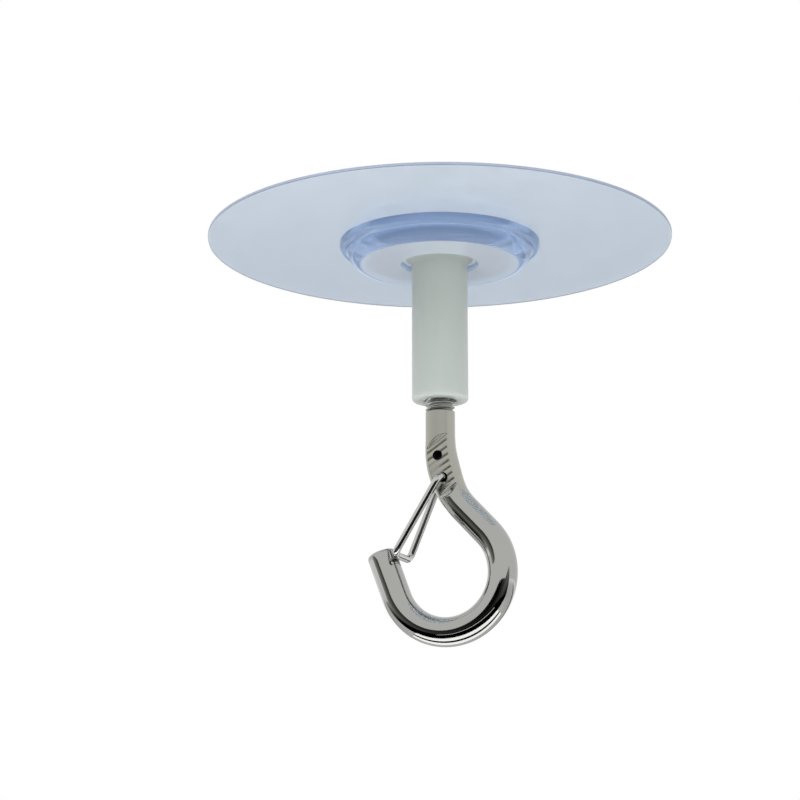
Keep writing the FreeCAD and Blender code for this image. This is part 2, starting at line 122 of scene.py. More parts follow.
class CeilingHookSizes(bpy.types.PropertyGroup):
    """Sizes of the pieces that are modelled here."""

    round_steps: count("Round Steps", "Steps round each turned piece", 192)
    seat_gap: length("Seat Gap", "Air between pieces that lie on each other", 0.02)
    film_edge: length("Film Edge", "Rounding of the disc's cut edge", 0.08)
    boss_rim_thickness: length("Rim Thickness", "Thickness of the boss's welded rim", 1.3)
    boss_rim_width: length("Rim Width", "How far the rim stands out from the boss's side", 1.4)
    boss_draft: length("Side Draft", "How far the boss's side leans in from rim to face", 0.5)
    boss_shoulder: length("Shoulder Radius", "Rounding between the boss's side and its face", 1.6)
    boss_edge: length("Edge Radius", "Rounding of the boss's rim", 0.5)
    boss_hole: length("Face Hole Radius", "Hole for the sleeve in the boss's face", 6.7)
    boss_hole_edge: length("Hole Edge", "Rounding of the hole in the boss's face", 0.25)
    flange_clearance: length("Flange Clearance", "Room round the sleeve's flange in the boss", 0.2)
    flange_thickness: length("Flange Thickness", "Thickness of the sleeve's flange", 2.7)
    sleeve_radius: length("Sleeve Radius", "Radius of the sleeve's barrel", 4.8)
    sleeve_flare: length("Sleeve Flare", "Hollow rounding between barrel and flange", 1.8)
    sleeve_edge: length("Sleeve Edge", "Rounding of the sleeve's lower end", 0.5)
    bore_radius: length("Bore Radius", "Radius of the sleeve's blind hole", 2.15)
    bore_depth: length("Bore Depth", "Depth of the sleeve's blind hole", 14.0)
    mouth_radius: length("Mouth Radius", "Radius of the hole's wider mouth", 2.8)
    mouth_depth: length("Mouth Depth", "Depth of the hole's wider mouth", 0.9)
    bar_radius: length("Bar Radius", "Radius of the hook's steel bar", 2.5)
    bar_steps: count("Bar Steps", "Steps round the hook's bar", 128)
    stud_radius: length("Stud Radius", "Radius of the stud under the thread", 2.1)
    stud_chamfer: length("Stud Chamfer", "Bevel at the stud's hidden end", 0.4)
    shank_chamfer: length("Shank Chamfer", "Bevel at the top of the shank", 0.3)
    shank_length: length("Shank Length", "Straight shank below the thread", 5.95)
    neck_radius: length("Neck Radius", "Bend from shank to leg, at the bar's middle", 16.0)
    leg_angle: angle("Leg Angle", "Lean of the leg from upright", 43.2)
    leg_length: length("Leg Length", "Straight leg between neck and eye", 5.7)
    eye_radius: length("Eye Radius", "Bend of the eye, at the bar's middle", 9.7)
    nose_lean: angle("Nose Lean", "Lean of the nose from upright", 20.5)
    nose_length: length("Nose Length", "Straight nose after the eye", 8.1)
    nose_edge: length("Nose Edge", "Rounding of the nose's end", 0.6)
    press_thickness: length("Pressed Half Thickness", "Half thickness of the pressed flats", 1.8)
    press_middle: length("Pressed Middle", "Middle of the flats, along the bar from the neck", 4.0)
    press_reach: length("Pressed Reach", "Half length of the flats, square to their ends", 4.1)
    press_slant: angle("Pressed Slant", "Lean of the flats' ends and grooves", 34.0)
    press_step: amount("Pressed Step", "Steepness of the flats' upper end", 2.0)
    press_fade: amount("Pressed Fade", "Steepness of the flats' lower end", 0.7)
    groove_pitch: length("Groove Pitch", "Distance between the pressed grooves", 1.05)
    groove_depth: length("Groove Depth", "Depth of the pressed grooves", 0.06)
    groove_width: length("Groove Width", "Half width of the pressed grooves", 0.28)
    groove_faint: factor("Faint Groove", "Share of their depth that worn grooves keep", 0.2)
    groove_left: length("Groove Left", "Where grooves begin to deepen, across the bar", -0.8)
    groove_right: length("Groove Right", "Where grooves are at full depth, across the bar", 0.9)
    groove_low: length("Groove Low", "Where grooves begin to deepen, above the middle", 0.8)
    groove_high: length("Groove High", "Where grooves are at full depth, above the middle", 1.8)
    press_soften: length("Pressed Softening", "Rounding of the flats' long edges", 0.12)
    press_margin: length("Pressed Margin", "Room over the bar where that rounding counts", 0.3)
    swell_reach: length("Swell Reach", "Half length over which pressing widens the bar", 6.5)
    swell_share: factor("Swell", "How much pressing widens the bar", 0.12)
    swell_outer: factor("Outer Swell", "Extra widening of the outer side", 0.06)
    shank_ring: length("Shank Ring", "Ring that keeps the shank's bevel crisp", 0.1)
    dull_fade: length("Dull Fade", "Length over which the dull shank turns bright", 5.0)
    hole_radius: length("Hole Radius", "Radius of the gate's two holes", 0.64)
    hole_mouth: length("Hole Mouth Radius", "Radius of a hole's wider mouths", 0.86)
    hole_mouth_depth: length("Hole Mouth Depth", "Depth of a hole's wider mouths", 0.7)
    thread_pitch: length("Thread Pitch", "Rise of the hook's thread in one turn", 0.8)
    thread_crest: length("Thread Crest", "Radius at the crest of the hook's thread", 2.5)
    thread_root: factor("Thread Root", "Half width of the thread's root, in pitches", 0.46)
    thread_top: factor("Thread Top", "Half width of the thread's crest, in pitches", 0.07)
    thread_sink: length("Thread Sink", "How far the thread's root is sunk into the stud", 0.05)
    thread_hidden: length("Hidden Thread", "Thread inside the sleeve's mouth", 0.75)
    thread_shown: length("Shown Thread", "Thread between the sleeve and the shank", 2.0)
    wire_radius: length("Wire Radius", "Radius of the gate's spring wire", 0.625)
    wire_bend: length("Wire Bend", "Radius of the wire's bends, at its middle", 1.25)
    wire_steps: count("Wire Steps", "Steps round the gate's wire", 32)
    anchor_x: length("Anchor X", "Upper hole of the gate, across the shank", 0.096)
    anchor_z: length("Anchor Z", "Upper hole of the gate, below the ceiling", -38.5)
    pin_reach: length("Pin Reach", "Where the wire's ends stop, from the bar's middle", 1.3)
    flex_start: length("Flex Start", "Where the back leg begins to flex, below its hole", 2.0)
    flex_across: length("Flex Across", "Reach of the flexing, from the back leg to the front", 6.2)
    flex_down: length("Flex Down", "Reach of the flexing, down the back leg", 5.7)


class CeilingHookFinish(bpy.types.PropertyGroup):
    """Colours and finishes."""

    film_tint: colour("Film Tint", "Colour that the clear disc lets through", (0.10, 0.42, 0.74))
    film_density: amount("Film Density", "Strength of the disc's tint, for each metre of it", 450.0)
    film_edge: colour("Film Edge", "Cut edge of the disc", (0.36, 0.42, 0.56))
    boss_tint: colour("Boss Tint", "Colour that the clear boss lets through", (0.05, 0.40, 0.82))
    boss_cloud: colour("Boss Cloud", "Faint cloudiness of the clear boss", (0.62, 0.77, 1.0))
    boss_face: colour("Boss Face", "Milky face of the boss under the flange", (0.89, 0.95, 1.0))
    boss_density: amount("Boss Density", "Strength of the boss's tint, for each metre of it", 28.0)
    boss_haze: factor("Boss Haze", "Milkiness of the boss's side", 0.26)
    face_haze: factor("Face Haze", "Milkiness of the boss's face under the flange", 0.58)
    sleeve_colour: colour("Sleeve Colour", "Milky plastic of the sleeve", (0.49, 0.53, 0.50))
    # Painted light: the flange's paler colour stands for light from above shining through the thin
    # flange.
    flange_painted_light: colour("Flange Colour", "Milky plastic of the thin flange", (0.97, 0.98, 1.0))
    # Painted shade: dark blue painted on the flange's side, deep in the boss, where shade falls.
    flange_painted_shade: colour("Flange Edge", "Shaded side of the flange, deep in the boss", (0.14, 0.30, 0.46))
    steel_colour: colour("Steel Colour", "Polished steel of the hook", (0.40, 0.40, 0.385))
    shank_colour: colour("Shank Colour", "Duller steel of the shank", (0.39, 0.39, 0.345))
    steel_roughness: factor("Steel Roughness", "Haze of the polished steel", 0.05)
    shank_roughness: factor("Shank Roughness", "Haze of the duller shank", 0.30)
    thread_colour: colour("Thread Colour", "Cut steel of the thread", (0.36, 0.37, 0.36))
    thread_roughness: factor("Thread Roughness", "Haze of the cut thread", 0.14)
    # Painted shade: near black painted inside the gate's holes, where shade falls.
    hole_shade_colour: colour("Hole Colour", "Unpolished steel in the gate's holes", (0.05, 0.05, 0.048))
    wire_colour: colour("Wire Colour", "Bright drawn spring wire", (0.52, 0.52, 0.51))


class CeilingHookStudio(bpy.types.PropertyGroup):
    """Camera, light and floor."""

    camera_place: FloatVectorProperty(
        name="Camera Place", description="Where the camera stands, in metres",
        default=(0.11971, -0.32889, -0.1130), subtype="TRANSLATION")
    camera_pitch: angle("Camera Pitch", "How far the camera looks up", 13.5688)
    camera_yaw: angle("Camera Yaw", "How far the camera turns to the left", 21.1214)
    camera_lens: amount("Camera Lens", "Focal length in millimetres", 95.147)
    floor_height: metres("Floor Height", "Height of the floor, from the ceiling", -0.40)
    floor_glow: amount("Floor Glow", "Whiteness added where the floor is background", 0.22)
    floor_fade: amount("Floor Fade", "Whiteness added far away, to hide the horizon", 0.75)
    fade_near: metres("Floor Fade Near", "Where the floor begins to turn white", 0.8)
    fade_far: metres("Floor Fade Far", "Where the floor is whitest", 5.0)
    floor_size: metres("Floor Size", "Half width of the floor", 12.0)
    room_light: amount("Room Light", "Strength of the even light all round", 0.62)
    card_near: metres("Dark Card Near", "Near edge of the dark card, before the hook", 0.25)
    card_far: metres("Dark Card Far", "Where the dark card turns up, from the hook", 1.0)
    card_top: metres("Dark Card Top", "Upper edge of the dark card", 0.03)
    card_width: metres("Dark Card Width", "How far the dark cards reach to the right", 0.8)
    card_left: metres("Dark Card Left", "How far the dark card reaches to the left", 2.6)
    card_rise: metres("Dark Card Rise", "How much higher the dark card is on the left", 0.20)
    card_drop: factor("Dark Card Drop", "Share of that rise by which the right side is lower", 0.4)
    card_glow: amount("Dark Card Glow", "Greyness of the dark card far to the sides", 0.45)
    card_turn: angle("Card Turn", "How far the cards are turned round the hook", 3.0)
    tip_across: metres("Dark Card Tip", "How far to the right the dark card runs out to a point", 2.2)
    tip_height: metres("Dark Card Tip Height", "Height of the dark card's point", 0.48)
    line_near: metres("Light Line Near", "Near edge of the light line on the dark card", 0.60)
    line_far: metres("Light Line Far", "Far edge of the light line on the dark card", 0.67)
    line_width: metres("Light Line Width", "Half width of the light line", 0.35)
    line_strength: amount("Light Line Strength", "Brightness of the light line", 1.2)
    wall_top: metres("Dark Wall Top", "Upper edge of the dark wall behind the hook", -0.265)
    glow_width: metres("Light Card Width", "Half width of the light cards", 0.40)
    glow_near: metres("Light Card Near", "Near edge of the light cards, from the hook", 0.05)
    glow_far: metres("Light Card Far", "Far edge of the light cards, from the hook", 0.22)
    glow_strength: amount("Light Card Strength", "Brightness of the light cards", 2.2)


def settings(name):
    return getattr(bpy.context.scene, name)


def new_piece(name, bm, material, smooth=True):
    """A finished mesh as an object at the origin."""
    mesh = bpy.data.meshes.new(name)
    bm.to_mesh(mesh)
    bm.free()
    piece = bpy.data.objects.new(name, mesh)
    bpy.context.scene.collection.objects.link(piece)
    mesh.materials.append(material)
    if smooth:
        mesh.shade_smooth()
    return piece


def sharpen(piece, degrees):
    """Keep edges sharper than an angle crisp, and large faces flat beside their small roundings."""
    piece.data.set_sharp_from_angle(angle=math.radians(degrees))
    flat = piece.modifiers.new("flat_faces", "WEIGHTED_NORMAL")
    flat.mode = "FACE_AREA"
    flat.weight = 100
    flat.keep_sharp = True


def new_material(name):
    """A new material, its node tree and its main shader."""
    material = bpy.data.materials.new(name)
    material.use_nodes = True
    tree = material.node_tree
    return material, tree, tree.nodes["Principled BSDF"]


def put(node, socket, value):
    """Set a named socket of a node to a fixed value."""
    node.inputs[socket].default_value = value


def feed(node, socket, value):
    """Link a value into a socket of a node."""
    node.id_data.links.new(value, node.inputs[socket])


def object_coordinates(tree, scale):
    """Object coordinates through a mapping; its output socket."""
    coordinates = tree.nodes.new("ShaderNodeTexCoord")
    mapping = tree.nodes.new("ShaderNodeMapping")
    put(mapping, "Scale", scale)
    feed(mapping, "Vector", coordinates.outputs["Object"])
    return mapping.outputs["Vector"]


def noise(tree, scale, stretch=ALL_AXES, detail=2.0):
    texture = tree.nodes.new("ShaderNodeTexNoise")
    put(texture, "Scale", scale)
    put(texture, "Detail", detail)
    feed(texture, "Vector", object_coordinates(tree, stretch))
    return texture.outputs["Fac"]


def new_node(kind, socket):
    """A new node in the tree that a socket belongs to."""
    return socket.id_data.nodes.new(kind)


def remap(value, low, high, start=0.0, end=1.0):
    """Map the values from start to end onto low to high."""
    remapped = new_node("ShaderNodeMapRange", value)
    put(remapped, "From Min", start)
    put(remapped, "From Max", end)
    put(remapped, "To Min", low)
    put(remapped, "To Max", high)
    feed(remapped, "Value", value)
    return remapped.outputs["Result"]


def tones(value, tint, darker):
    """A colour that varies a little, from a darker share of it to the colour itself."""
    ramp = new_node("ShaderNodeValToRGB", value)
    ramp.color_ramp.elements[0].color = (*(part * darker for part in tint), 1.0)
    ramp.color_ramp.elements[1].color = (*tint, 1.0)
    feed(ramp, "Fac", value)
    return ramp.outputs["Color"]


def bump(height, distance, strength):
    node = new_node("ShaderNodeBump", height)
    put(node, "Distance", distance)
    put(node, "Strength", strength)
    feed(node, "Height", height)
    return node.outputs["Normal"]


def by_height(tree, low, high):
    """A mask that rises between two heights."""
    split = tree.nodes.new("ShaderNodeSeparateXYZ")
    feed(split, "Vector", object_coordinates(tree, ALL_AXES))
    return remap(split.outputs["Z"], 0.0, 1.0, start=low, end=high)


def by_radius(tree, low, high, axes=(1.0, 1.0, 0.0)):
    """A mask that rises between two distances, from the upright axis unless other axes count."""
    distance = tree.nodes.new("ShaderNodeVectorMath")
    distance.operation = "LENGTH"
    feed(distance, 0, object_coordinates(tree, axes))
    return remap(distance.outputs["Value"], 0.0, 1.0, start=low, end=high)


def mix_colours(mask, first, second):
    """A colour that changes from a socket's colour to a fixed one as a mask rises."""
    mix = new_node("ShaderNodeMix", mask)
    mix.data_type = "RGBA"
    feed(mix, "Factor", mask)
    feed(mix, "A", first)
    put(mix, "B", (*second, 1.0))
    return mix.outputs["Result"]


def combine(operation, first, second):
    node = new_node("ShaderNodeMath", first)
    node.operation = operation
    feed(node, 0, first)
    feed(node, 1, second)
    return node.outputs["Value"]


def seen_rays(tree):
    """A mask of the rays from the camera, from mirrors and through clear pieces."""
    path = tree.nodes.new("ShaderNodeLightPath")
    seen = path.outputs["Is Camera Ray"]
    for ray in ("Is Glossy Ray", "Is Transmission Ray"):
        seen = combine("MAXIMUM", seen, path.outputs[ray])
    return seen


def clear_plastic(name, tint, density, cloud, wave, bending, haze):
    """Soft clear plastic: tinted by its thickness, a little cloudy, faintly uneven on its surface."""
    material, tree, shader = new_material(name)
    feed(shader, "Base Color", tones(noise(tree, scale=90.0), cloud, darker=0.97))
    put(shader, "Transmission Weight", 1.0)
    put(shader, "IOR", bending)
    spots = noise(tree, scale=160.0)
    feed(shader, "Roughness", remap(spots, low=haze * 0.7, high=haze * 1.3))
    feed(shader, "Normal", bump(noise(tree, scale=55.0), wave, strength=0.5))
    volume = tree.nodes.new("ShaderNodeVolumeAbsorption")
    put(volume, "Color", (*tint, 1.0))
    put(volume, "Density", density)
    feed(tree.nodes["Material Output"], "Volume", volume.outputs["Volume"])
    return material


def cloud_boss(material, finish, face, inside, radius):
    """Make the clear boss faintly milky, and more so on the face that the flange presses on."""
    tree = material.node_tree
    shader = tree.nodes["Principled BSDF"]
    milky_from = face + 0.25 * (inside - face)
    soft = 0.3 * MM
    above = by_height(tree, inside, milky_from)
    within = by_radius(tree, radius + soft, radius - soft)
    pressed = combine("MINIMUM", above, within)
    clear = remap(pressed, 1.0 - finish.boss_haze, 1.0 - finish.face_haze)
    feed(shader, "Transmission Weight", clear)
    cloud = shader.inputs["Base Color"].links[0].from_socket
    feed(shader, "Base Color", mix_colours(pressed, cloud, finish.boss_face))


def cut_edge(tint):
    """Cut edge of the clear disc: it gathers the tint of the whole sheet."""
    material, tree, shader = new_material("film_cut_edge")
    feed(shader, "Base Color", tones(noise(tree, scale=300.0), tint, darker=0.85))
    feed(shader, "Roughness", remap(noise(tree, scale=900.0), low=0.25, high=0.45))
    return material


def adhesive_gel():
    """Sticky gel: clear, without a hard gloss of its own."""
    material, tree, shader = new_material("adhesive_gel")
    put(shader, "Base Color", (0.96, 0.98, 1.0, 1.0))
    put(shader, "Transmission Weight", 1.0)
    put(shader, "IOR", 1.03)
    feed(shader, "Roughness", remap(noise(tree, scale=60.0), low=0.20, high=0.28))
    return material


def milky_plastic(finish, flange_top, flange_under, flange_radius):
    """Moulded milky plastic, with painted light and painted shade on its flange: the thin flange is
    painted paler where light from above would shine through it, and the flange's side deep in the boss
    is painted dark blue.
    """
    material, tree, shader = new_material("milky_plastic")
    put(shader, "Subsurface Weight", 1.0)
    put(shader, "Subsurface Radius", (1.0, 1.0, 0.95))
    put(shader, "Subsurface Scale", 0.003)
    put(shader, "IOR", 1.52)
    barrel = tones(noise(tree, scale=60.0), finish.sleeve_colour, darker=0.96)
    # Painted light: the thin flange is painted paler, standing for light that comes through it from
    # above.
    flange = by_height(tree, low=flange_under - 0.3 * MM, high=flange_under - 0.05 * MM)
    tone = mix_colours(flange, barrel, finish.flange_painted_light)
    # Painted shade: the flange's side, deep in the boss, is painted dark blue.
    outer = by_radius(tree, low=flange_radius - 0.4 * MM, high=flange_radius - 0.1 * MM)
    deep = by_height(tree, low=flange_top - 0.6 * MM, high=flange_top - 1.2 * MM)
    side = combine("MINIMUM", outer, deep)
    feed(shader, "Base Color", mix_colours(side, tone, finish.flange_painted_shade))
    feed(shader, "Roughness", remap(noise(tree, scale=220.0), low=0.30, high=0.42))
    grain = noise(tree, scale=1400.0)
    feed(shader, "Normal", bump(grain, distance=0.02 * MM, strength=0.3))
    return material


def bright_steel(name, tint, roughness):
    """Polished steel, a little uneven, with its tree, shader, tone and haze for more work."""
    material, tree, shader = new_material(name)
    put(shader, "Metallic", 1.0)
    tone = tones(noise(tree, scale=240.0), tint, darker=0.94)
    feed(shader, "Base Color", tone)
    spots = noise(tree, scale=420.0, detail=6.0)
    haze = remap(spots, low=roughness * 0.8, high=roughness * 1.3)
    feed(shader, "Roughness", haze)
    marks = noise(tree, scale=1500.0, stretch=(1.0, 1.0, 0.15))
    feed(shader, "Normal", bump(marks, distance=0.001 * MM, strength=0.05))
    return material, tree, shader, tone, haze


def hook_steel(finish, dull_above, bright_below):
    """Steel of the hook: bright round the eye, duller and warmer up the shank."""
    material, tree, shader, tone, haze = bright_steel(
        "polished_steel", finish.steel_colour, finish.steel_roughness)
    dull = by_height(tree, bright_below, dull_above)
    duller = tree.nodes.new("ShaderNodeMix")
    feed(duller, "Factor", dull)
    feed(duller, "A", haze)
    put(duller, "B", finish.shank_roughness)
    feed(shader, "Roughness", duller.outputs["Result"])
    feed(shader, "Base Color", mix_colours(dull, tone, finish.shank_colour))
    return material


def hole_shade_steel(finish):
    """Rough steel inside a drilled hole, painted near black: painted shade in the hole."""
    material, tree, shader = new_material("hole_shade_steel")
    feed(shader, "Base Color", tones(noise(tree, scale=900.0), finish.hole_shade_colour, darker=0.7))
    put(shader, "Metallic", 1.0)
    feed(shader, "Roughness", remap(noise(tree, scale=1800.0), low=0.55, high=0.75))
    return material


def lathe(corners, steps):
    """Spin a closed outline of (radius, height, rounding) corners about the upright axis."""
    bm = bmesh.new()
    verts = [bm.verts.new((radius, 0.0, height)) for radius, height, _ in corners]
    bm.faces.new(verts)
    for vert, (_, _, rounding) in zip(verts, corners):
        if rounding > 0.0:
            bmesh.ops.bevel(bm, geom=[vert], offset=rounding, offset_type="OFFSET", segments=8,
                            profile=0.5, affect="VERTICES", material=-1)
    bmesh.ops.delete(bm, geom=list(bm.faces), context="FACES_ONLY")
    axis = [edge for edge in bm.edges if max(vert.co.x for vert in edge.verts) < TINY]
    bmesh.ops.delete(bm, geom=axis, context="EDGES")
    bmesh.ops.spin(bm, geom=list(bm.verts) + list(bm.edges), cent=(0, 0, 0), axis=(0, 0, 1),
                   angle=math.tau, steps=steps, use_merge=True)
    bmesh.ops.remove_doubles(bm, verts=bm.verts, dist=TINY)
    bmesh.ops.dissolve_degenerate(bm, edges=bm.edges, dist=TINY)
    bmesh.ops.recalc_face_normals(bm, faces=bm.faces)
    return bm


def only(kind, geometry):
    """The items of one kind in a list of new geometry."""
    return [item for item in geometry if isinstance(item, kind)]


def start_bar(bm, place, radius, steps):
    """A capped circle from which a bar is drawn; its edges."""
    made = bmesh.ops.create_circle(bm, cap_ends=True, segments=steps, radius=radius, matrix=place)
    return list({edge for vert in made["verts"] for edge in vert.link_edges})


def bar_middle(ring):
    verts = {vert for edge in ring for vert in edge.verts}
    return sum((vert.co for vert in verts), Vector()) / len(verts)


def draw_bar(bm, ring, reach, steps=1, scale=1.0):
    """Draw a bar straight on in a number of equal steps, its end scaled."""
    for _ in range(steps):
        made = bmesh.ops.extrude_edge_only(bm, edges=ring)["geom"]
        verts = only(BMVert, made)
        ring = only(BMEdge, made)
        bmesh.ops.translate(bm, verts=verts, vec=reach / steps)
    bmesh.ops.scale(bm, vec=(scale, scale, scale), verts=verts,
                    space=Matrix.Translation(-bar_middle(ring)))
    return ring


def bend_bar(bm, ring, heading, axis, turn, radius, steps):
    """Bend a bar about an axis; its new end and heading."""
    inward = axis.cross(heading).normalized()
    made = bmesh.ops.spin(bm, geom=ring, cent=bar_middle(ring) + inward * radius, axis=axis,
                          angle=turn, steps=steps, use_merge=False)["geom_last"]
    ring = only(BMEdge, made)
    return ring, Matrix.Rotation(turn, 3, axis) @ heading


def smooth_step(low, high, value):
    share = min(1.0, max(0.0, (value - low) / (high - low)))
    return share * share * (3.0 - 2.0 * share)


def soft_least(first, second, blend):
    """The smaller of two values, with a rounded change from one to the other."""
    share = min(1.0, max(0.0, 0.5 + 0.5 * (second - first) / blend))
    return second + (first - second) * share - blend * share * (1.0 - share)


class CEILING_HOOK_OT_disc(bpy.types.Operator):
    """Cut the clear disc and lay the adhesive on it"""

    bl_idname = "ceiling_hook.disc"
    bl_label = "Clear Disc"

    def execute(self, context):
        sizes, finish = settings("hook_sizes"), settings("hook_finish")
        low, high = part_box("film_disc")
        bottom = low.z + sizes.seat_gap
        edge = sizes.film_edge
        bm = lathe([(0.0, bottom, 0.0), (high.x, bottom, edge), (high.x, high.z, edge),
                    (0.0, high.z, 0.0)], sizes.round_steps)
        bm.normal_update()
        for face in bm.faces:
            upright = abs(face.normal.z) < 0.5
            face.material_index = int(upright)
        film = new_piece("clear_disc", bm, clear_plastic(
            "clear_film", finish.film_tint, finish.film_density, WHITE,
            wave=0.005 * MM, bending=1.36, haze=0.15))
        film.data.materials.append(cut_edge(finish.film_edge))
        sharpen(film, degrees=40)
        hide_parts("film_disc")
        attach(film, "base")
        low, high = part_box("adhesive_pad")
        bottom = low.z + sizes.seat_gap
        bm = lathe([(0.0, bottom, 0.0), (high.x, bottom, 0.0), (high.x, high.z, edge),
                    (0.0, high.z, 0.0)], sizes.round_steps)
        pad = new_piece("adhesive_layer", bm, adhesive_gel())
        sharpen(pad, degrees=40)
        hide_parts("adhesive_pad")
        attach(pad, "base")
        return {"FINISHED"}


class CEILING_HOOK_OT_boss(bpy.types.Operator):
    """Mould the clear boss under the disc"""

    bl_idname = "ceiling_hook.boss"
    bl_label = "Clear Boss"

    def execute(self, context):
        sizes, finish = settings("hook_sizes"), settings("hook_finish")
        low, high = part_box("clear_boss")
        face = low.z
        rim = high.x
        side = rim - sizes.boss_rim_width
        rim_under = high.z - sizes.boss_rim_thickness
        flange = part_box("pillar")[1]
        cavity = flange.x + sizes.flange_clearance
        ceiling = flange.z - sizes.flange_thickness - sizes.seat_gap
        bm = lathe([
            (cavity, high.z, 0.0), (rim, high.z, 0.0), (rim, rim_under, sizes.boss_edge),
            (side, rim_under, sizes.boss_edge), (side - sizes.boss_draft, face, sizes.boss_shoulder),
            (sizes.boss_hole, face, sizes.boss_hole_edge), (sizes.boss_hole, ceiling, 0.0),
            (cavity, ceiling, sizes.boss_hole_edge),
        ], sizes.round_steps)
        material = clear_plastic(
            "clear_boss", finish.boss_tint, finish.boss_density, finish.boss_cloud,
            wave=0.03 * MM, bending=1.28, haze=0.09)
        cloud_boss(material, finish, face, ceiling, side - sizes.boss_draft - sizes.boss_shoulder)
        boss = new_piece("moulded_boss", bm, material)
        sharpen(boss, degrees=40)
        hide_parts("clear_boss")
        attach(boss, "base")
        return {"FINISHED"}


class CEILING_HOOK_OT_sleeve(bpy.types.Operator):
    """Mould the milky sleeve with its flange and its blind hole"""

    bl_idname = "ceiling_hook.sleeve"
    bl_label = "Milky Sleeve"

    def execute(self, context):
        sizes, finish = settings("hook_sizes"), settings("hook_finish")
        low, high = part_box("pillar")
        under = high.z - sizes.flange_thickness
        end = low.z
        mouth_top = end + sizes.mouth_depth
        bore_top = end + sizes.bore_depth
        bm = lathe([
            (0.0, high.z, 0.0), (high.x, high.z, 0.0), (high.x, under, sizes.boss_hole_edge),
            (sizes.sleeve_radius, under, sizes.sleeve_flare),
            (sizes.sleeve_radius, end, sizes.sleeve_edge), (sizes.mouth_radius, end, 0.0),
            (sizes.mouth_radius, mouth_top, 0.0), (sizes.bore_radius, mouth_top, 0.0),
            (sizes.bore_radius, bore_top, 0.0), (0.0, bore_top, 0.0),
        ], sizes.round_steps)
        sleeve = new_piece("milky_sleeve", bm, milky_plastic(finish, high.z, under, high.x))
        sharpen(sleeve, degrees=40)
        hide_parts("pillar")
        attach(sleeve, "base")
        return {"FINISHED"}


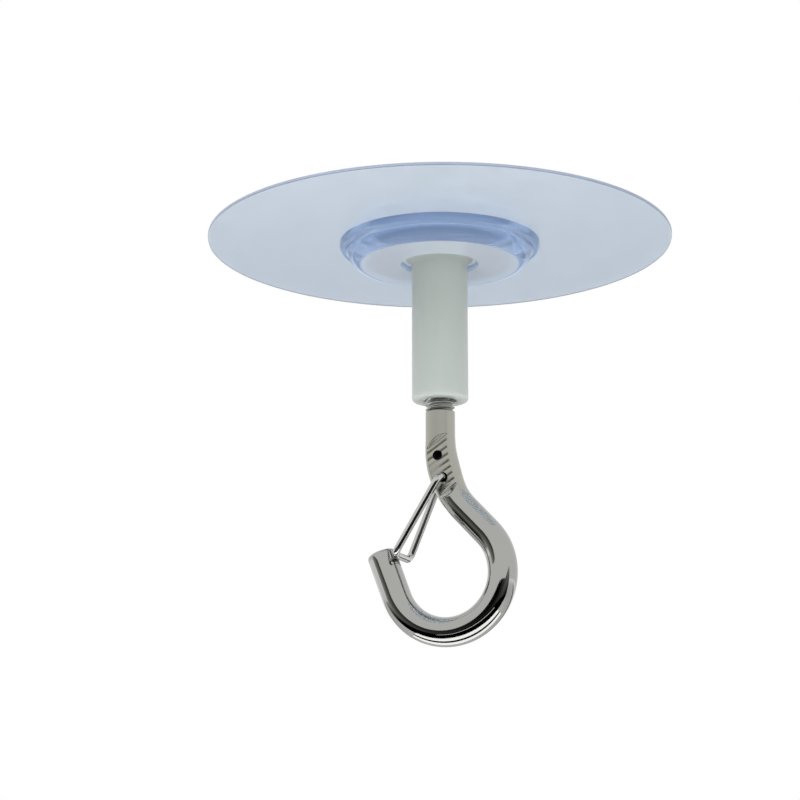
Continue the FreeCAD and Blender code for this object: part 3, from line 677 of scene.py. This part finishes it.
class CEILING_HOOK_OT_hook(bpy.types.Operator):
    """Bend, press and drill the steel hook and cut its thread"""

    bl_idname = "ceiling_hook.hook"
    bl_label = "Steel Hook"

    def execute(self, context):
        sizes, finish = settings("hook_sizes"), settings("hook_finish")
        self.shank_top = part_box("pillar")[0].z - sizes.thread_shown
        self.neck_start = self.shank_top - sizes.shank_length
        steel = hook_steel(finish, PIVOT.z, PIVOT.z - sizes.dull_fade)
        hook = new_piece("steel_hook", self.bar_mesh(sizes), steel)
        self.drill(hook, sizes, steel)
        sharpen(hook, degrees=60)
        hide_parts("hook")
        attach(hook, "hook")
        cut = bright_steel("cut_thread", finish.thread_colour, finish.thread_roughness)[0]
        thread = new_piece("hook_thread", self.thread_mesh(sizes), cut)
        sharpen(thread, degrees=35)
        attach(thread, "hook")
        return {"FINISHED"}

    def bar_mesh(self, sizes):
        """The bar, from the stud's hidden end round the eye to the nose."""
        bm = bmesh.new()
        radius, stud = sizes.bar_radius, sizes.stud_radius
        chamfer = sizes.stud_chamfer
        down = Vector((0.0, 0.0, -1.0))
        top = Vector((0.0, 0.0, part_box("hook")[1].z))
        ring = start_bar(bm, Matrix.Translation(top), stud - chamfer, sizes.bar_steps)
        ring = draw_bar(bm, ring, down * chamfer, scale=stud / (stud - chamfer))
        edge_top = self.shank_top + sizes.shank_chamfer
        ring = draw_bar(bm, ring, down * (top.z - chamfer - edge_top), steps=8)
        edge = radius - sizes.shank_chamfer
        ring = draw_bar(bm, ring, Vector(), scale=edge / stud)
        ring = draw_bar(bm, ring, down * sizes.shank_chamfer, scale=radius / edge)
        ring = draw_bar(bm, ring, down * sizes.shank_ring)
        ring = draw_bar(bm, ring, down * (sizes.shank_length - sizes.shank_ring), steps=64)
        sideways = Vector((0.0, 1.0, 0.0))
        ring, heading = bend_bar(
            bm, ring, down, -sideways, sizes.leg_angle, sizes.neck_radius, steps=128)
        self.press(bm, sizes)
        ring = draw_bar(bm, ring, heading * sizes.leg_length, steps=8)
        around = math.pi + sizes.leg_angle - sizes.nose_lean
        ring, heading = bend_bar(bm, ring, heading, sideways, around, sizes.eye_radius, steps=96)
        ring = draw_bar(bm, ring, heading * (sizes.nose_length - sizes.nose_edge), steps=8)
        self.round_end(bm, ring, heading, sizes)
        bmesh.ops.recalc_face_normals(bm, faces=bm.faces)
        return bm

    def round_end(self, bm, ring, heading, sizes, steps=8):
        """Round the bar's end and close it."""
        size = sizes.bar_radius
        for i in range(1, steps + 1):
            before = QUARTER_TURN * (i - 1) / steps
            after = QUARTER_TURN * i / steps
            forward = sizes.nose_edge * (math.sin(after) - math.sin(before))
            smaller = sizes.bar_radius - sizes.nose_edge * (1.0 - math.cos(after))
            ring = draw_bar(bm, ring, heading * forward, scale=smaller / size)
            size = smaller
        cap = bmesh.ops.holes_fill(bm, edges=ring, sides=0)["faces"]
        bmesh.ops.inset_region(bm, faces=cap, thickness=size * 0.5)

    def press(self, bm, sizes):
        """Flatten both faces of the neck between slanting ends, groove them and widen the bar."""
        radius, neck = sizes.bar_radius, sizes.neck_radius
        middle_turn = sizes.press_middle / neck
        middle_x = neck * (1.0 - math.cos(middle_turn))
        middle_z = self.neck_start - neck * math.sin(middle_turn)
        lean, rise = math.sin(sizes.press_slant), math.cos(sizes.press_slant)
        for vert in bm.verts:
            x, y, z = vert.co
            along = self.neck_start - z
            across = x
            turn = 0.0
            if along > 0.0:
                turn = math.atan2(along, neck - x)
                across = neck - math.hypot(neck - x, along)
                along = turn * neck
            from_middle = along - sizes.press_middle
            swell = 0.0
            if abs(from_middle) < sizes.swell_reach:
                swell = math.cos(QUARTER_TURN * from_middle / sizes.swell_reach) ** 2
            square = (middle_z - z) * rise + (x - middle_x) * lean
            limit = self.face_height(sizes, across, square)
            height = soft_least(abs(y), limit, sizes.press_soften)
            if limit < radius + sizes.press_margin:
                vert.co.y = math.copysign(height, y)
            across *= 1.0 + swell * (sizes.swell_share + sizes.swell_outer * across / radius)
            if self.neck_start - z > 0.0:
                vert.co.x = neck - (neck - across) * math.cos(turn)
                vert.co.z = self.neck_start - (neck - across) * math.sin(turn)
            else:
                vert.co.x = across

    def face_height(self, sizes, across, square):
        """Half thickness that pressing leaves at a place on the flats."""
        beyond = max(0.0, abs(square) - sizes.press_reach)
        steepness = sizes.press_step if square < 0.0 else sizes.press_fade
        limit = sizes.press_thickness + beyond * steepness
        if beyond > 0.0:
            return limit
        right = smooth_step(sizes.groove_left, sizes.groove_right, across)
        upper = smooth_step(sizes.groove_low, sizes.groove_high, -square)
        strength = max(sizes.groove_faint, right, upper)
        place = square / sizes.groove_pitch + 0.5
        from_groove = (place - math.floor(place) - 0.5) * sizes.groove_pitch
        groove = math.exp(-(from_groove / sizes.groove_width) ** 2)
        return limit - sizes.groove_depth * strength * groove

    def drill(self, hook, sizes, steel):
        """Drill the two holes for the gate's wire straight through the flats."""
        # The walls of the holes get the near-black painted shade.
        dark = hole_shade_steel(settings("hook_finish"))
        hook.data.materials.append(dark)
        hole, mouth = sizes.hole_radius, sizes.hole_mouth
        step = sizes.press_thickness - sizes.hole_mouth_depth
        end = 2.0 * sizes.bar_radius
        for place in (PIVOT, Vector((sizes.anchor_x, 0.0, sizes.anchor_z))):
            bm = lathe([(0.0, -end, 0.0), (mouth, -end, 0.0), (mouth, -step, 0.0), (hole, -step, 0.0),
                        (hole, step, 0.0), (mouth, step, 0.0), (mouth, end, 0.0), (0.0, end, 0.0)],
                       steps=48)
            aim = Matrix.Translation(place) @ Matrix.Rotation(QUARTER_TURN, 4, "X")
            bmesh.ops.transform(bm, matrix=aim, verts=bm.verts)
            for face in bm.faces:
                face.material_index = 1
            drill = new_piece("hole_drill", bm, steel)
            drill.data.materials.append(dark)
            self.cut(hook, drill)

    def cut(self, hook, drill):
        """Cut a drill's shape out of the hook and throw the drill away."""
        cut = hook.modifiers.new("hole", "BOOLEAN")
        cut.object = drill
        cut.operation = "DIFFERENCE"
        cut.solver = "EXACT"
        whole = hook.data
        drilled = hook.evaluated_get(bpy.context.evaluated_depsgraph_get())
        hook.data = bpy.data.meshes.new_from_object(drilled)
        hook.data.name = hook.name
        hook.modifiers.clear()
        bpy.data.meshes.remove(whole)
        bpy.data.objects.remove(drill)

    def thread_mesh(self, sizes):
        """A right-hand ridge on the stud that fades out in the sleeve's mouth."""
        steps_per_turn = 72
        pitch = sizes.thread_pitch
        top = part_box("pillar")[0].z + sizes.thread_hidden
        height = top - self.shank_top - 0.5 * pitch
        steps = round(height / pitch * steps_per_turn)
        buried, crest = sizes.stud_radius - sizes.thread_sink, sizes.thread_crest
        root, flat = sizes.thread_root * pitch, sizes.thread_top * pitch
        outline = ((buried, -root), (crest, -flat), (crest, flat), (buried, root))
        bm = bmesh.new()
        section = [bm.verts.new((radius, 0.0, self.shank_top + rise)) for radius, rise in outline]
        face = bm.faces.new(section)
        bmesh.ops.spin(bm, geom=[face] + list(face.edges) + section, cent=(0, 0, 0), axis=(0, 0, 1),
                       dvec=(0, 0, height / steps), angle=height / pitch * math.tau, steps=steps,
                       use_merge=False)
        bmesh.ops.holes_fill(bm, edges=bm.edges, sides=len(outline))
        for vert in bm.verts:
            radius = math.hypot(vert.co.x, vert.co.y)
            if radius > sizes.stud_radius:
                fade = smooth_step(top, top - sizes.thread_hidden, vert.co.z)
                scale = (buried + (radius - buried) * fade) / radius
                vert.co.xy *= scale
        bmesh.ops.recalc_face_normals(bm, faces=bm.faces)
        return bm


class CEILING_HOOK_OT_gate(bpy.types.Operator):
    """Bend the gate's spring wire"""

    bl_idname = "ceiling_hook.gate"
    bl_label = "Wire Gate"

    def execute(self, context):
        sizes, finish = settings("hook_sizes"), settings("hook_finish")
        low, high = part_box("gate_wire")
        radius, bend = sizes.wire_radius, sizes.wire_bend
        out = high.y - radius
        bar = Vector((low.x + radius, 0.0, low.z + radius))
        anchor = Vector((sizes.anchor_x, 0.0, sizes.anchor_z))
        bm = bmesh.new()
        front, back = Vector((0.0, -1.0, 0.0)), Vector((0.0, 1.0, 0.0))
        front_down = (bar - PIVOT).normalized()
        back_up = (anchor - bar).normalized()
        start = PIVOT + back * sizes.pin_reach
        aim = Matrix.Translation(start) @ Matrix.Rotation(QUARTER_TURN, 4, "X")
        ring = start_bar(bm, aim, radius, sizes.wire_steps)
        inwards = out - bend + sizes.pin_reach
        straights = (
            (front_down, (bar - PIVOT).length - 2 * bend, 12),
            (back, 2 * (out - bend), 4),
            (back_up, (anchor - bar).length - 2 * bend, 40),
            (front, inwards - sizes.press_thickness, 2),
        )
        ring = draw_bar(bm, ring, front * inwards, steps=3)
        heading = front
        for direction, reach, steps in straights:
            ring = self.bend(bm, ring, heading, direction, bend)
            ring = draw_bar(bm, ring, direction * reach, steps)
            heading = direction
        bmesh.ops.holes_fill(bm, edges=ring, sides=0)
        bmesh.ops.recalc_face_normals(bm, faces=bm.faces)
        wire = bright_steel("spring_wire", finish.wire_colour, finish.steel_roughness)[0]
        gate = new_piece("bent_gate", bm, wire)
        sharpen(gate, degrees=50)
        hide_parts("gate_wire")
        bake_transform(gate)
        return {"FINISHED"}

    def bend(self, bm, ring, before, after, radius):
        """Bend the wire from one direction to another."""
        axis = before.cross(after).normalized()
        return bend_bar(bm, ring, before, axis, before.angle(after), radius, steps=12)[0]


class CEILING_HOOK_OT_stage(bpy.types.Operator):
    """Set the floor, the light and the camera"""

    bl_idname = "ceiling_hook.stage"
    bl_label = "Stage"

    def execute(self, context):
        studio = settings("hook_studio")
        self.floor(studio)
        self.cards(studio)
        self.world(studio)
        for name, place, size, power in LAMPS:
            self.lamp(name, place, size, power)
        self.camera(studio)
        context.scene.view_settings.view_transform = "Standard"
        return {"FINISHED"}

    def floor(self, studio):
        """A pale floor that keeps shadows, and looks white to mirrors and through clear pieces."""
        material, tree, shader = new_material("pale_floor")
        patches = noise(tree, scale=3.0)
        feed(shader, "Base Color", tones(patches, (0.85, 0.85, 0.85), darker=0.98))
        put(shader, "Roughness", 0.9)
        put(shader, "Emission Color", (*WHITE, 1.0))
        far = by_radius(tree, studio.fade_near, studio.fade_far)
        glow = remap(far, studio.floor_glow, studio.floor_fade)
        feed(shader, "Emission Strength", combine("MULTIPLY", glow, seen_rays(tree)))
        bm = bmesh.new()
        bmesh.ops.create_grid(bm, x_segments=1, y_segments=1, size=studio.floor_size,
                              matrix=Matrix.Translation((0, 0, studio.floor_height)))
        new_piece("floor", bm, material, smooth=False)

    def cards(self, studio):
        """Dark cards before and behind and light ones underneath, only for the metal to mirror."""
        bottom = studio.floor_height + 1.0 * MM
        near, far = studio.card_near, studio.card_far
        dark = self.dark_card(studio)
        front = ((near, bottom), (far, bottom), (far, studio.card_top))
        self.front_card(studio, front, dark)
        self.card("dark_wall", ((-far, bottom), (-far, studio.wall_top)), studio.card_left, dark)
        line = ((studio.line_near, bottom + MM), (studio.line_far, bottom + MM))
        bright = self.light_card("light_line", studio.line_strength)
        self.card("light_line", line, studio.line_width, bright)
        light = self.light_card("light_card", studio.glow_strength)
        near, far = studio.glow_near, studio.glow_far
        self.card("light_card_front", ((near, bottom), (far, bottom)), studio.glow_width, light)
        self.card("light_card_back", ((-near, bottom), (-far, bottom)), studio.glow_width, light)
        self.card("dark_strip", ((-near, bottom), (near, bottom)), studio.glow_width, dark)

    def light_card(self, name, strength):
        material, _, shader = new_material(name)
        put(shader, "Base Color", (*BLACK, 1.0))
        put(shader, "Emission Color", (*WHITE, 1.0))
        put(shader, "Emission Strength", strength)
        return material

    def dark_card(self, studio):
        """Black in the middle, greyer to the sides."""
        material, tree, shader = new_material("dark_card")
        put(shader, "Base Color", (*BLACK, 1.0))
        put(shader, "Specular IOR Level", 0.0)
        put(shader, "Emission Color", (1.0, 1.0, 0.95, 1.0))
        far = by_radius(tree, studio.card_far, studio.tip_across, axes=ALL_AXES)
        feed(shader, "Emission Strength", remap(far, low=0.0, high=studio.card_glow))
        return material

    def front_card(self, studio, outline, material):
        """The dark card before the hook: higher on the left, run out to a point on the right."""
        bm = bmesh.new()
        right = self.sweep(bm, outline, -studio.card_left, studio.card_width)
        for vert in bm.verts:
            if vert.co.z > 0.0:
                drop = studio.card_drop * studio.card_rise
                vert.co.z += studio.card_rise if vert.co.x < 0.0 else -drop
            if vert.co.x < 0.0 and vert.co.y > -studio.card_far:
                vert.co.y = 0.0
        made = bmesh.ops.extrude_edge_only(bm, edges=right)["geom"]
        last = only(BMVert, made)
        tip = (studio.tip_across, -studio.card_far, studio.tip_height)
        bmesh.ops.pointmerge(bm, verts=last, merge_co=tip)
        self.hang("dark_card", bm, material)

    def card(self, name, outline, width, material):
        bm = bmesh.new()
        self.sweep(bm, outline, -width, width)
        self.hang(name, bm, material)

    def sweep(self, bm, outline, left, right):
        """Sweep an outline of (forward, height) corners across the view; the edges of its right end."""
        verts = [bm.verts.new((left, -forward, height)) for forward, height in outline]
        edges = [bm.edges.new(pair) for pair in zip(verts, verts[1:])]
        made = bmesh.ops.extrude_edge_only(bm, edges=edges)["geom"]
        moved = only(BMVert, made)
        bmesh.ops.translate(bm, verts=moved, vec=(right - left, 0.0, 0.0))
        ends = only(BMEdge, made)
        return [edge for edge in ends if all(vert in moved for vert in edge.verts)]

    def hang(self, name, bm, material):
        """Hang a card round the hook so that mirror rays alone see it."""
        turn = Matrix.Rotation(settings("hook_studio").card_turn, 3, "Z")
        bmesh.ops.rotate(bm, verts=bm.verts, cent=(0, 0, 0), matrix=turn)
        card = new_piece(name, bm, material, smooth=False)
        card.visible_camera = False
        card.visible_diffuse = False
        card.visible_transmission = False
        card.visible_shadow = False

    def world(self, studio):
        """White where the camera, a mirror or a clear piece looks, an even pale grey elsewhere."""
        world = bpy.data.worlds.new("studio_room")
        bpy.context.scene.world = world
        world.use_nodes = True
        tree = world.node_tree
        background = tree.nodes["Background"]
        put(background, "Color", (*WHITE, 1.0))
        feed(background, "Strength", remap(seen_rays(tree), studio.room_light, high=1.0))

    def lamp(self, name, place, size, power):
        light = bpy.data.lights.new(name, "AREA")
        light.energy = power
        light.size = size
        lamp = bpy.data.objects.new(name, light)
        lamp.location = place
        aim = LAMP_AIM - Vector(place)
        lamp.rotation_euler = aim.to_track_quat("-Z", "Y").to_euler()
        lamp.visible_glossy = False
        lamp.visible_transmission = False
        bpy.context.scene.collection.objects.link(lamp)

    def camera(self, studio):
        data = bpy.data.cameras.new("photo_camera")
        data.lens = studio.camera_lens
        data.clip_start = 0.01
        camera = bpy.data.objects.new("photo_camera", data)
        camera.location = studio.camera_place
        camera.rotation_euler = (QUARTER_TURN + studio.camera_pitch, 0.0, studio.camera_yaw)
        bpy.context.scene.collection.objects.link(camera)
        bpy.context.scene.camera = camera


class CEILING_HOOK_PT_panel(bpy.types.Panel):
    """Every step of the ceiling hook"""

    bl_idname = "CEILING_HOOK_PT_panel"
    bl_label = "Ceiling Hook"
    bl_space_type = "VIEW_3D"
    bl_region_type = "UI"
    bl_category = "Ceiling Hook"

    def draw(self, context):
        for operator in OPERATORS:
            self.layout.operator(operator.bl_idname)
        for name in GROUPS:
            box = self.layout.box()
            group = getattr(context.scene, name)
            for field in group.__annotations__:
                box.prop(group, field)


OPERATORS = (
    CEILING_HOOK_OT_stage,
    CEILING_HOOK_OT_disc,
    CEILING_HOOK_OT_boss,
    CEILING_HOOK_OT_sleeve,
    CEILING_HOOK_OT_hook,
    CEILING_HOOK_OT_gate,
)
GROUPS = {
    "hook_sizes": CeilingHookSizes,
    "hook_finish": CeilingHookFinish,
    "hook_studio": CeilingHookStudio,
}
CLASSES = (*GROUPS.values(), *OPERATORS, CEILING_HOOK_PT_panel)


def register():
    for item in CLASSES:
        bpy.utils.register_class(item)
    for name, group in GROUPS.items():
        setattr(bpy.types.Scene, name, PointerProperty(type=group))


def unregister():
    for name in GROUPS:
        delattr(bpy.types.Scene, name)
    for item in reversed(CLASSES):
        bpy.utils.unregister_class(item)


def main():
    register()
    bpy.ops.ceiling_hook.stage()
    bpy.ops.ceiling_hook.disc()
    bpy.ops.ceiling_hook.boss()
    bpy.ops.ceiling_hook.sleeve()
    bpy.ops.ceiling_hook.hook()
    bpy.ops.ceiling_hook.gate()
    bpy.context.view_layer.update()


if __name__ == "__main__":
    main()
